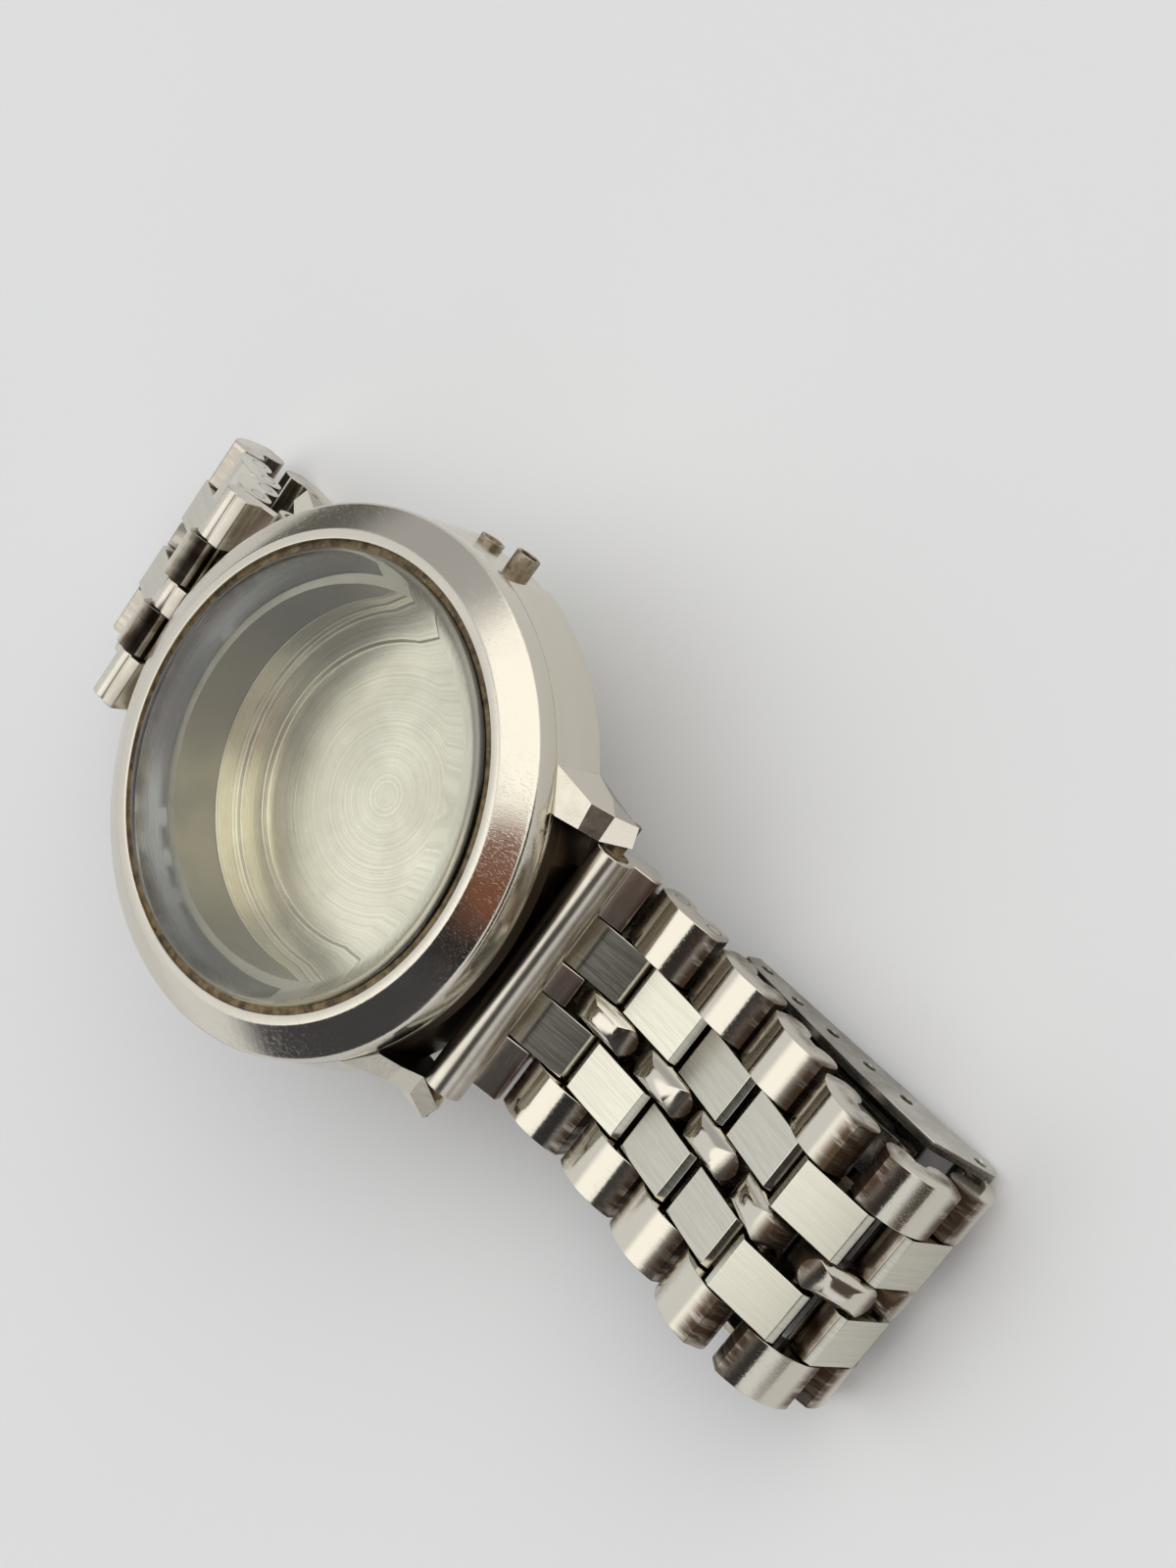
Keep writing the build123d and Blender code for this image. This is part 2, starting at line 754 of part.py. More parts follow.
with BuildPart() as cover_room:
    with BuildSketch(Plane.YZ.offset(-cover_half_at_bar)):
        with BuildLine():
            Line((plate_start_y, cover_low_z + cover_wall), (plate_start_y, cover_low_z - over))
            Polyline(
                (plate_start_y, cover_low_z - over),
                (cover_start_y - over, cover_low_z - over),
                (cover_start_y - over, over),
                (cover_end_y + over, over),
                (cover_end_y + over, cover_low_z - over),
                (plate_end_y, cover_low_z - over),
                (plate_end_y, plate_end_z),
            )
            ThreePointArc(
                (plate_end_y, plate_end_z),
                ((plate_start_y + plate_end_y) / 2, cover_mid_low_z + cover_wall),
                (plate_start_y, cover_low_z + cover_wall),
            )
        make_face()
    extrude(amount=2 * cover_half_at_bar)
    extrude(cover_plan(-cover_wall), amount=cover_plan_height, mode=Mode.INTERSECT)

with BuildPart() as clasp_cover:
    with BuildSketch(Plane.YZ.offset(-cover_half_at_bar)):
        with BuildLine():
            ThreePointArc(
                (cover_start_y, clasp_bar_z),
                (clasp_bar_y, clasp_bar_z - cover_end_radius),
                (clasp_bar_y + cover_end_radius, cover_low_z),
            )
            ThreePointArc(
                (clasp_bar_y + cover_end_radius, cover_low_z),
                ((cover_start_y + cover_end_y) / 2, cover_mid_low_z),
                (cover_end_y, cover_end_low_z),
            )
            Polyline(
                (cover_end_y, cover_end_low_z),
                (cover_end_y, cover_end_high_z),
                *cover_rim,
                (cover_start_y, clasp_bar_z),
            )
        make_face()
    extrude(amount=2 * cover_half_at_bar)
    extrude(cover_plan(0), amount=cover_plan_height, mode=Mode.INTERSECT)
    add(cover_room.part, mode=Mode.SUBTRACT)
    with BuildSketch(Plane.YZ.offset(-cover_half_at_bar)):
        for number in range(cover_hole_count):
            hole = (
                cover_hole_first[0] + number * cover_hole_step[0],
                cover_hole_first[1] + number * cover_hole_step[1],
            )
            with Locations(hole):
                Circle(cover_hole_radius)
        with Locations(cover_hinge, (clasp_bar_y, clasp_bar_z)):
            Circle(hinge_pin_radius)
    extrude(amount=2 * cover_half_at_bar, mode=Mode.SUBTRACT)
clasp_cover.part.label = "clasp_cover"
export_step(clasp_cover.part, "parts/clasp_cover.step")


def hinge_pin(name, centre, half_length):
    """A plain pin along X."""
    with BuildPart() as pin:
        with BuildSketch(Plane.YZ.offset(-half_length)):
            with Locations(centre):
                Circle(hinge_pin_radius)
        extrude(amount=2 * half_length)
    pin.part.label = name
    export_step(pin.part, f"parts/{name}.step")


hinge_pin("cover_hinge_pin", cover_hinge, cover_half_at_hinge - cover_wall / 2)
hinge_pin("blade_hinge_pin", blade_hinge, blade_half_width)


def strip(centre_line, low, width):
    """A blade that follows a centre line seen from the side, from low over its width."""
    half = blade_thickness / 2
    upper = [(y, z + half) for y, z in centre_line]
    lower = [(y, z - half) for y, z in reversed(centre_line)]
    with BuildSketch(Plane.YZ.offset(low)) as outline:
        with BuildLine():
            Polyline(*upper, *lower, close=True)
        make_face()
    return extrude(outline.sketch, amount=width, mode=Mode.PRIVATE)


# Outer blade: folded inside the cover, from the cover's hinge to the blades' hinge
outer_blade_rise = 1.46
outer_blade_z = clasp_bar_z + outer_blade_rise
joggle = 1.9
blade_knuckle_half = 4.1
outer_line = (blade_hinge, (blade_hinge[0] + joggle, outer_blade_z), cover_hinge)
with BuildPart() as clasp_outer_blade:
    add(strip(outer_line, -blade_half_width, 2 * blade_half_width))
    for low in (-blade_half_width, blade_knuckle_half):
        with BuildSketch(Plane.YZ.offset(low)):
            with Locations(blade_hinge):
                Circle(knuckle_room)
        extrude(amount=blade_half_width - blade_knuckle_half, mode=Mode.SUBTRACT)
    with BuildSketch(Plane.YZ.offset(-blade_knuckle_half)):
        with Locations(blade_hinge):
            Circle(knuckle_radius)
    extrude(amount=2 * blade_knuckle_half)
    with BuildSketch(Plane.YZ.offset(-blade_half_width)):
        with Locations(cover_hinge):
            Circle(knuckle_radius)
    extrude(amount=2 * blade_half_width)
    with BuildSketch(Plane.YZ.offset(-blade_half_width)):
        with Locations(blade_hinge, cover_hinge):
            Circle(hinge_pin_radius + running_gap)
    extrude(amount=2 * blade_half_width, mode=Mode.SUBTRACT)
clasp_outer_blade.part.label = "clasp_outer_blade"
export_step(clasp_outer_blade.part, "parts/clasp_outer_blade.step")

# Inner blade: runs back under the case to the last pin of side twelve
inner_blade_rise = 2.56
inner_blade_z = clasp_bar_z + inner_blade_rise
last_pin = twelve_pins[-1]
blade_shoulder = 3.34
blade_shoulder_y = last_pin[0] - blade_shoulder
inner_line = (
    blade_hinge,
    (blade_hinge[0] + joggle, inner_blade_z),
    (blade_shoulder_y, inner_blade_z),
    last_pin,
)
eye_low = bead_half_width + row_gap
eye_width = flat_row_edge - eye_low
with BuildPart() as clasp_inner_blade:
    add(strip(inner_line, -blade_half_width, 2 * blade_half_width))
    # narrow end that fits between the rows of the last link
    with BuildSketch(Plane.XY.offset(last_pin[1] - 2 * over)):
        with Locations((0, blade_shoulder_y + blade_half_width)):
            Rectangle(2 * eye_low, 2 * blade_half_width)
        with Locations(
            (blade_half_width + flat_row_edge, blade_shoulder_y + blade_half_width),
            (-blade_half_width - flat_row_edge, blade_shoulder_y + blade_half_width),
        ):
            Rectangle(2 * blade_half_width, 2 * blade_half_width)
    extrude(amount=4 * over, mode=Mode.SUBTRACT)
    for low in (eye_low, -flat_row_edge):
        with BuildSketch(Plane.YZ.offset(low)):
            with Locations(last_pin):
                Circle(link_under)
        extrude(amount=eye_width)
    with BuildSketch(Plane.YZ.offset(-flat_row_edge)):
        with Locations(last_pin):
            Circle(pin_radius + running_gap)
    extrude(amount=2 * flat_row_edge, mode=Mode.SUBTRACT)
    # knuckles of the blades' hinge
    with BuildSketch(Plane.YZ.offset(-blade_knuckle_half - row_gap)):
        with Locations(blade_hinge):
            Circle(knuckle_room)
    extrude(amount=2 * (blade_knuckle_half + row_gap), mode=Mode.SUBTRACT)
    for low in (blade_knuckle_half + row_gap, -blade_half_width):
        with BuildSketch(Plane.YZ.offset(low)):
            with Locations(blade_hinge):
                Circle(knuckle_radius)
        extrude(amount=blade_half_width - blade_knuckle_half - row_gap)
    with BuildSketch(Plane.YZ.offset(-blade_half_width)):
        with Locations(blade_hinge):
            Circle(hinge_pin_radius)
    extrude(amount=2 * blade_half_width, mode=Mode.SUBTRACT)
clasp_inner_blade.part.label = "clasp_inner_blade"
export_step(clasp_inner_blade.part, "parts/clasp_inner_blade.step")
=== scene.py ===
import json
import math

import bmesh
import bpy
import numpy as np
from mathutils import Matrix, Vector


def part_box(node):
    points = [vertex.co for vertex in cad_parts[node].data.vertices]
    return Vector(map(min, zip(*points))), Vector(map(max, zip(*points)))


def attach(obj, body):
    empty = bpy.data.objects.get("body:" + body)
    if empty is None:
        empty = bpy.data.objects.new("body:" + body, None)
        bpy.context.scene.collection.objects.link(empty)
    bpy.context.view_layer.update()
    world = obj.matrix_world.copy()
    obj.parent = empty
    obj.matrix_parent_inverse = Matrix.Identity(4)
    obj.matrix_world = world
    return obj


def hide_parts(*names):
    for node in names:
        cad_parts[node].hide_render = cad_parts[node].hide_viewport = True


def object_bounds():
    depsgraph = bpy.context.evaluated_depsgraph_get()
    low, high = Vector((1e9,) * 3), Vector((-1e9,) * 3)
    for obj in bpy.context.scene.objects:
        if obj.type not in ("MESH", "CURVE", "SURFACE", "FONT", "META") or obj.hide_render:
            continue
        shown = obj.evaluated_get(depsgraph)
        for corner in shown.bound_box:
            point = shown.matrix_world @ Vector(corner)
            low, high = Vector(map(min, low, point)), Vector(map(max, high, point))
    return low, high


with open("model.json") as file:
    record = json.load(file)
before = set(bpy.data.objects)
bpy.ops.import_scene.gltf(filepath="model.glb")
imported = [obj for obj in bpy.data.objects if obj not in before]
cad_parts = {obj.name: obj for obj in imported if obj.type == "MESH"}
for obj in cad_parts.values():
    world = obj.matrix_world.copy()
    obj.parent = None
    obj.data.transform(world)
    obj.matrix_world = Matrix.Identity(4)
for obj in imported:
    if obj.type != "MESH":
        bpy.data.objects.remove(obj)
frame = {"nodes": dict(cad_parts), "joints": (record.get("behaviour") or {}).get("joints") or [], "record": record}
cad_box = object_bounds()

MM = 0.001
nodes = frame["nodes"]
floor_z = cad_box[0][2]


# ---------------------------------------------------------------- shader nodes
def add(tree, kind, **settings):
    """A shader node of a kind, with its properties and plain input values set."""
    made = tree.nodes.new(kind)
    for name, value in settings.items():
        if hasattr(made, name):
            setattr(made, name, value)
        else:
            made.inputs[name.replace("_", " ")].default_value = value
    return made


def join(tree, value, into):
    """An input socket gets a link from another socket, or else a plain number or a colour."""
    if isinstance(value, bpy.types.NodeSocket):
        tree.links.new(value, into)
    else:
        into.default_value = value + (1,) if isinstance(value, tuple) else value


def maths(tree, operation, *values, clamp=False):
    """A Math node whose inputs are sockets or plain numbers; gives its output."""
    made = add(tree, "ShaderNodeMath", operation=operation, use_clamp=clamp)
    for value, into in zip(values, made.inputs):
        join(tree, value, into)
    return made.outputs[0]


def ranged(tree, value, low, high, to_low=0.0, to_high=1.0):
    """A Map Range node from low..high to to_low..to_high, smooth at both ends; gives its output."""
    made = add(
        tree, "ShaderNodeMapRange", interpolation_type="SMOOTHSTEP",
        From_Min=low, From_Max=high, To_Min=to_low, To_Max=to_high,
    )
    join(tree, value, made.inputs["Value"])
    return made.outputs["Result"]


def spanned(tree, value, span, to_low=0.0, to_high=1.0):
    """A Map Range node like that, for a length in metres and a span of two lengths in mm."""
    return ranged(tree, value, span[0] * MM, span[1] * MM, to_low, to_high)


def varied(tree, pattern, start, change):
    """A value that is start where a pattern is 0 and start + change where it is 1."""
    return maths(tree, "MULTIPLY_ADD", pattern, change, start)


def mixed(tree, factor, first, second):
    """A colour Mix node whose inputs are sockets, plain colours or a number; gives its output."""
    made = add(tree, "ShaderNodeMix", data_type="RGBA")
    for value, number in ((factor, 0), (first, 6), (second, 7)):
        join(tree, value, made.inputs[number])
    return made.outputs[2]


def xyz(tree, vector):
    """The three parts of a vector, as sockets."""
    made = add(tree, "ShaderNodeSeparateXYZ")
    join(tree, vector, made.inputs[0])
    return made.outputs


def hypot(tree, first, second):
    """The length of two parts at right angles."""
    squares = (maths(tree, "MULTIPLY", side, side) for side in (first, second))
    return maths(tree, "SQRT", maths(tree, "ADD", *squares))


def noise_along(tree, value, scale, detail):
    """Noise that follows one number."""
    made = add(tree, "ShaderNodeTexNoise", noise_dimensions="1D", Scale=scale, Detail=detail)
    join(tree, value, made.inputs["W"])
    return made.outputs[0]


def stretched(tree, vector, scale, turn=(0, 0, 0)):
    """A Mapping node that turns a pattern and stretches it along its axes."""
    made = add(tree, "ShaderNodeMapping", Scale=scale, Rotation=turn)
    join(tree, vector, made.inputs["Vector"])
    return made.outputs[0]


def principled(name, metallic=1.0):
    """A new material; gives it, its tree, its Principled shader and the object's coordinates."""
    material = bpy.data.materials.new(name)
    material.use_nodes = True
    tree = material.node_tree
    shader = tree.nodes["Principled BSDF"]
    shader.inputs["Metallic"].default_value = metallic
    return material, tree, shader, add(tree, "ShaderNodeTexCoord").outputs["Object"]


def dress(tree, shader, colour, rough, heights):
    """Colour, roughness and a row of bumps, each of a height socket, a strength and a depth in metres."""
    join(tree, colour, shader.inputs["Base Color"])
    join(tree, rough, shader.inputs["Roughness"])
    into = shader.inputs["Normal"]
    for height, strength, depth in reversed(heights):
        bump = add(tree, "ShaderNodeBump", Strength=strength, Distance=depth)
        join(tree, height, bump.inputs["Height"])
        join(tree, bump.outputs[0], into)
        into = bump.inputs["Normal"]


# ---------------------------------------------------------------- camera, light and table
# The photograph's camera: lens and height of the frame in mm, and its place in metres
LENS = 54
FRAME_HEIGHT = 36
NEAREST = 0.01
CAMERA_PLACE = (
    (0.5737, 0.7804, 0.2486, 0.04956),
    (-0.5907, 0.6045, -0.5344, -0.09566),
    (-0.5673, 0.1597, 0.8078, 0.12698),
    (0, 0, 0, 1),
)

# Soft patches of the room: azimuth and elevation of the middle, half angle of the core and of
# the outer edge, all in degrees, and the colour of the light
ROOM = (
    (-18, 40, 27, 44, (1.5, 1.49, 1.45)),
    (160, 68, 19, 31, (1.42, 1.41, 1.38)),
    (52, 26, 14, 34, (0.50, 0.50, 0.52)),
    (235, 60, 16, 17.8, (0.03, 0.03, 0.03)),
    (194, 32, 24, 36, (0.07, 0.07, 0.08)),
    (278, 6, 26, 36, (0.10, 0.08, 0.07)),
    (82, 4, 10, 24, (0.16, 0.16, 0.15)),
    (272, 61, 8, 17, (0.25, 0.11, 0.07)),
)
ROOM_GREY = (0.86, 0.87, 0.89)
BACKDROP = (0.78, 0.785, 0.79)

TABLE_REACH = 3.0
TABLE_TONES = ((0.865, 0.875, 0.885), (0.905, 0.915, 0.92))


def viewing_camera():
    """The photograph's camera, looking down from above 5 o'clock."""
    data = bpy.data.cameras.new("viewing_camera")
    data.lens = LENS
    data.sensor_fit = "VERTICAL"
    data.sensor_height = FRAME_HEIGHT
    data.clip_start = NEAREST
    camera = bpy.data.objects.new("viewing_camera", data)
    camera.matrix_world = Matrix(CAMERA_PLACE)
    bpy.context.scene.collection.objects.link(camera)
    bpy.context.scene.camera = camera


def room_light():
    """A room of even grey with the patches of ROOM laid over it in turn; the camera sees BACKDROP."""
    world = bpy.data.worlds.new("room")
    world.use_nodes = True
    tree = world.node_tree
    tree.nodes.clear()
    direction = add(tree, "ShaderNodeTexCoord").outputs["Generated"]
    colour = ROOM_GREY
    for azimuth, elevation, core, edge, light in ROOM:
        turn, rise = math.radians(azimuth), math.radians(elevation)
        towards = add(tree, "ShaderNodeVectorMath", operation="DOT_PRODUCT")
        join(tree, direction, towards.inputs[0])
        towards.inputs[1].default_value = (
            math.cos(rise) * math.cos(turn),
            math.cos(rise) * math.sin(turn),
            math.sin(rise),
        )
        cosine = towards.outputs["Value"]
        share = ranged(tree, cosine, math.cos(math.radians(edge)), math.cos(math.radians(core)))
        colour = mixed(tree, share, colour, light)
    seen = add(tree, "ShaderNodeLightPath").outputs["Is Camera Ray"]
    background = add(tree, "ShaderNodeBackground")
    join(tree, mixed(tree, seen, colour, BACKDROP), background.inputs["Color"])
    out = add(tree, "ShaderNodeOutputWorld")
    join(tree, background.outputs[0], out.inputs["Surface"])
    bpy.context.scene.world = world


def shade_smooth(mesh):
    """Every face of a mesh shaded smooth."""
    mesh.polygons.foreach_set("use_smooth", np.ones(len(mesh.polygons), bool))


def new_piece(name, verts, faces, material):
    """A mesh object from corners in metres and faces, with its material."""
    mesh = bpy.data.meshes.new(name)
    mesh.from_pydata(verts, [], faces)
    mesh.update()
    mesh.materials.append(material)
    piece = bpy.data.objects.new(name, mesh)
    bpy.context.scene.collection.objects.link(piece)
    return piece


def table_top():
    """A pale matt table far wider than the view, with faint wide tones."""
    material, tree, shader, place = principled("pale_table", metallic=0.0)
    tone = add(tree, "ShaderNodeTexNoise", Scale=9, Detail=1)
    join(tree, place, tone.inputs["Vector"])
    shader.inputs["Specular IOR Level"].default_value = 0.2
    dress(tree, shader, mixed(tree, tone.outputs[0], *TABLE_TONES), rough=0.75, heights=[])
    signs = ((-1, -1), (1, -1), (1, 1), (-1, 1))
    corners = [(TABLE_REACH * x, TABLE_REACH * y, floor_z) for x, y in signs]
    floor = new_piece("table_top", corners, [(0, 1, 2, 3)], material)


viewing_camera()
room_light()
table_top()

# ---------------------------------------------------------------- shared finishes
# Scratches: three directions in radians, stretch of the noise, and the crests that show
HAIRLINE_TURNS = (0.4, 1.5, 2.6)
HAIRLINE_TILT = 0.3
HAIRLINE_FAN = 0.2
HAIRLINE_STRETCH = (9000, 500, 9000)
HAIRLINE_CRESTS = (0.62, 0.74)
RING_SCALES = (13000, 5200)


def finish_group(name, inputs, outputs):
    """An empty shader node group with named sockets; gives the tree, its inputs and its outputs."""
    tree = bpy.data.node_groups.new(name, "ShaderNodeTree")
    for sockets, way in ((inputs, "INPUT"), (outputs, "OUTPUT")):
        for socket in sockets:
            kind = "NodeSocketVector" if socket == "Vector" else "NodeSocketFloat"
            tree.interface.new_socket(name=socket, in_out=way, socket_type=kind)
    return tree, tree.nodes.new("NodeGroupInput").outputs, tree.nodes.new("NodeGroupOutput").inputs


def hairline_group():
    """Fine scratches: noise drawn out into lines in three directions, cut to its crests."""
    tree, given, out = finish_group("hairlines", ["Vector", "Density"], ["Lines"])
    total = 0.0
    for number, turn in enumerate(HAIRLINE_TURNS):
        way = (HAIRLINE_TILT, HAIRLINE_FAN * number, turn)
        noise = add(tree, "ShaderNodeTexNoise", Scale=1, Detail=1)
        join(tree, stretched(tree, given[0], HAIRLINE_STRETCH, way), noise.inputs["Vector"])
        total = maths(tree, "MAXIMUM", total, ranged(tree, noise.outputs[0], *HAIRLINE_CRESTS))
    join(tree, maths(tree, "MULTIPLY", total, given[1]), out[0])
    return tree


def brush_group():
    """Brushed lines: fine noise, drawn out along one axis by the coordinates it is given."""
    tree, given, out = finish_group("brush_lines", ["Vector"], ["Lines"])
    fine = add(tree, "ShaderNodeTexNoise", Scale=1, Detail=3, Roughness=0.7)
    join(tree, given[0], fine.inputs["Vector"])
    join(tree, fine.outputs[0], out[0])
    return tree


def ring_group():
    """Turned lines: the distance from the Z axis plus the height drives fine and coarse noise."""
    tree, given, out = finish_group("turned_lines", ["Vector"], ["Fine", "Coarse"])
    flat = add(tree, "ShaderNodeVectorMath", operation="MULTIPLY")
    join(tree, given[0], flat.inputs[0])
    flat.inputs[1].default_value = (1, 1, 0)
    length = add(tree, "ShaderNodeVectorMath", operation="LENGTH")
    join(tree, flat.outputs[0], length.inputs[0])
    depth = maths(tree, "ADD", length.outputs["Value"], xyz(tree, given[0])[2])
    for number, scale in enumerate(RING_SCALES):
        join(tree, noise_along(tree, depth, scale, detail=2), out[number])
    return tree


def blotch_group():
    """Soft uneven patches of wear or dirt, from slow noise with some fine noise in it."""
    tree, given, out = finish_group("blotches", ["Vector", "Scale"], ["Patches"])
    noise = add(tree, "ShaderNodeTexNoise", Detail=4, Roughness=0.6)
    join(tree, given[0], noise.inputs["Vector"])
    join(tree, given[1], noise.inputs["Scale"])
    join(tree, ranged(tree, noise.outputs[0], 0.3, 0.7), out[0])
    return tree


HAIRLINES = hairline_group()
BRUSH = brush_group()
RINGS = ring_group()
BLOTCHES = blotch_group()


def used(tree, group, vector, **values):
    """A group node placed in a material, fed with a vector and its own values; gives its first output."""
    made = add(tree, "ShaderNodeGroup", node_tree=group)
    join(tree, vector, made.inputs[0])
    for name, value in values.items():
        made.inputs[name].default_value = value
    return made.outputs[0]


# ---------------------------------------------------------------- materials
STEEL = (0.66, 0.62, 0.53)
# Dirt and painted shade on the links: dark brown at their ends and low on their sides; also the dark pin seams
STEEL_DIRT_AND_SHADE = (0.10, 0.066, 0.042)
BRUSHED_TONES = ((0.56, 0.54, 0.455), (0.67, 0.645, 0.555))
# Painted shade: the darker colour of the case's inner wall
INNER_WALL_SHADE = (0.31, 0.29, 0.22)
# Painted shade: near black between the lugs, behind the end pieces
LUG_GAP_SHADE = (0.05, 0.035, 0.022)
CLASP_TONES = ((0.46, 0.44, 0.39), (0.62, 0.60, 0.54))
# Grime and painted shade inside the clasp cover
CLASP_GRIME_AND_SHADE = ((0.40, 0.38, 0.33), (0.19, 0.165, 0.13))
BACK_TONES = ((0.74, 0.70, 0.55), (0.87, 0.82, 0.66))
BACK_CLOUD = (0.46, 0.42, 0.31)
# Painted shade: the greyer flange wall of the case back
FLANGE_SHADE_GREY = (0.40, 0.395, 0.36)
# Grime and painted shade at the top of the flange
FLANGE_GRIME_AND_SHADE = (0.13, 0.105, 0.055)
TUBE_TONES = ((0.66, 0.62, 0.54), (0.57, 0.53, 0.45))
# Dirt and painted shade on the far side of 6's end piece
TUBE_GRIME_AND_SHADE = (0.16, 0.085, 0.055)
BRASS_TONES = ((0.24, 0.18, 0.11), (0.48, 0.43, 0.34))
GASKET_TONES = ((0.055, 0.038, 0.018), (0.24, 0.17, 0.08))
GLASS_TINT = (0.97, 0.985, 0.99)

# Links, by link_place: half the way between two pins and the radius of a pin's seam, in metres
HALF_PITCH = 1.525 * MM
PIN_SEAM = 0.55 * MM

# Where one look fades into another, in mm
POLISHED_LOW = (1.25, 0.2)
BRUSHED_LOW = (1.35, 0.9)
LINK_ENDS = (1.5, 2.5)
TWELVE_WAY = (0.0, 20)
LINK_OUTSIDE = (9.08, 9.12)
SEAM_WIDTH = (0.09, 0.03)
WALL_RADIUS = (14.7, 14.3)
LUG_GAP_X = (10.0, 9.975)
LUG_GAP_Y = (15.8, 16.4)
LUG_GAP_Z = (8.2, 7.9)
FLANGE_FOOT = (8.3, 8.6)
FLANGE_TOP = (9.5, 10.3)
TUBE_END_Y = (-20.5, -21.2)
COVER_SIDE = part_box("clasp_cover")[1][0] / MM - 0.25
COVER_INSIDE = (COVER_SIDE, COVER_SIDE - 0.1)


def link_coordinates(tree):
    """The attribute link_place: across, along the link and above its pins."""
    return add(tree, "ShaderNodeAttribute", attribute_name="link_place").outputs["Vector"]


def bezel_finish():
    """Polished steel with hairlines, and radial brush marks by the angle round Z."""
    material, tree, shader, place = principled("polished_bezel")
    x, y, _ = xyz(tree, place)
    lines = noise_along(tree, maths(tree, "ARCTAN2", y, x), scale=260, detail=3)
    scratches = used(tree, HAIRLINES, place, Density=0.8)
    wear = used(tree, BLOTCHES, place, Scale=320)
    rough = varied(tree, wear, start=0.07, change=0.10)
    dress(tree, shader, STEEL, rough, [(lines, 0.45, 6e-6), (scratches, 0.8, 5e-6)])
    return material


def polished_finish():
    """Polished steel of outer links and beads: hairlines, uneven shine, dirt and painted shade low
    down and at the links' ends, less of it towards 12, and the seam of each pin on the outer sides."""
    material, tree, shader, place = principled("polished_links")
    own = link_coordinates(tree)
    across, along, height = xyz(tree, own)
    wear = used(tree, BLOTCHES, place, Scale=420)
    middle = maths(tree, "ABSOLUTE", maths(tree, "SUBTRACT", along, HALF_PITCH))
    streaks = used(tree, BRUSH, stretched(tree, own, scale=(1900, 300, 300)))
    streaks = ranged(tree, streaks, 0.3, 0.55, to_low=0.45, to_high=1.0)
    # Painted shade where the links meet, with dirt, broken up by the streaks
    ends = maths(tree, "MULTIPLY", spanned(tree, middle, LINK_ENDS), streaks)
    # Painted shade low down on the links, with dirt in patches
    low = maths(tree, "MULTIPLY", spanned(tree, height, POLISHED_LOW), wear)
    dirt_and_shade = maths(tree, "MAXIMUM", low, ends, clamp=True)
    less = spanned(tree, xyz(tree, place)[1], TWELVE_WAY, to_low=1.0, to_high=0.4)
    dirt_and_shade = maths(tree, "MULTIPLY", dirt_and_shade, less)
    pin_way = hypot(tree, maths(tree, "SUBTRACT", middle, HALF_PITCH), height)
    seam = maths(tree, "ABSOLUTE", maths(tree, "SUBTRACT", pin_way, PIN_SEAM))
    outside = spanned(tree, maths(tree, "ABSOLUTE", across), LINK_OUTSIDE)
    ring = maths(tree, "MULTIPLY", spanned(tree, seam, SEAM_WIDTH), outside)
    less = ranged(tree, outside, 0.0, 1.0, to_low=1.0, to_high=0.5)
    dirt_and_shade = maths(tree, "MULTIPLY", dirt_and_shade, less)
    colour = mixed(tree, maths(tree, "MAXIMUM", dirt_and_shade, ring), STEEL, STEEL_DIRT_AND_SHADE)
    scratches = used(tree, HAIRLINES, place, Density=0.8)
    rough = varied(tree, dirt_and_shade, start=0.11, change=0.35)
    dress(tree, shader, colour, rough, [(wear, 0.15, 12e-6), (scratches, 0.5, 4e-6)])
    return material


def brushed_finish():
    """Brushed steel of the flat rows: lines along the bracelet, dirt and painted shade low on the sides."""
    material, tree, shader, place = principled("brushed_links")
    own = link_coordinates(tree)
    lines = used(tree, BRUSH, stretched(tree, own, scale=(10000, 260, 260)))
    wear = used(tree, BLOTCHES, place, Scale=420)
    # Painted shade low on the sides of the flats, between the rows, with dirt in patches
    low = spanned(tree, xyz(tree, own)[2], BRUSHED_LOW)
    dirt_and_shade = maths(tree, "MULTIPLY", low, varied(tree, wear, start=0.5, change=0.5), clamp=True)
    clean = mixed(tree, ranged(tree, lines, 0.3, 0.7), *BRUSHED_TONES)
    rough = varied(tree, lines, start=0.11, change=0.1)
    dress(tree, shader, mixed(tree, dirt_and_shade, clean, STEEL_DIRT_AND_SHADE), rough, [(lines, 0.4, 3e-6)])
    return material


def case_finish():
    """Steel of the case: polished, with hairlines, duller on the inner wall and darkened there as painted shade,
    with painted shade between the lugs.
    """
    material, tree, shader, place = principled("polished_case")
    wear = used(tree, BLOTCHES, place, Scale=350)
    scratches = used(tree, HAIRLINES, place, Density=0.9)
    x, y, height = xyz(tree, place)
    across, along = maths(tree, "ABSOLUTE", x), maths(tree, "ABSOLUTE", y)
    # Painted shade: a darker colour on the inner wall, which is also made rougher
    inside = spanned(tree, hypot(tree, across, along), WALL_RADIUS)
    # Painted shade between the lugs, low down behind the end pieces
    between = maths(
        tree, "MULTIPLY", spanned(tree, across, LUG_GAP_X), spanned(tree, along, LUG_GAP_Y)
    )
    shade_and_grime = maths(tree, "MULTIPLY", between, spanned(tree, height, LUG_GAP_Z))
    colour = mixed(tree, shade_and_grime, mixed(tree, inside, STEEL, INNER_WALL_SHADE), LUG_GAP_SHADE)
    rough = varied(tree, wear, start=0.09, change=0.16)
    rough = varied(tree, maths(tree, "MAXIMUM", inside, shade_and_grime), start=rough, change=0.22)
    dress(tree, shader, colour, rough, [(scratches, 0.5, 4e-6), (wear, 0.1, 10e-6)])
    return material


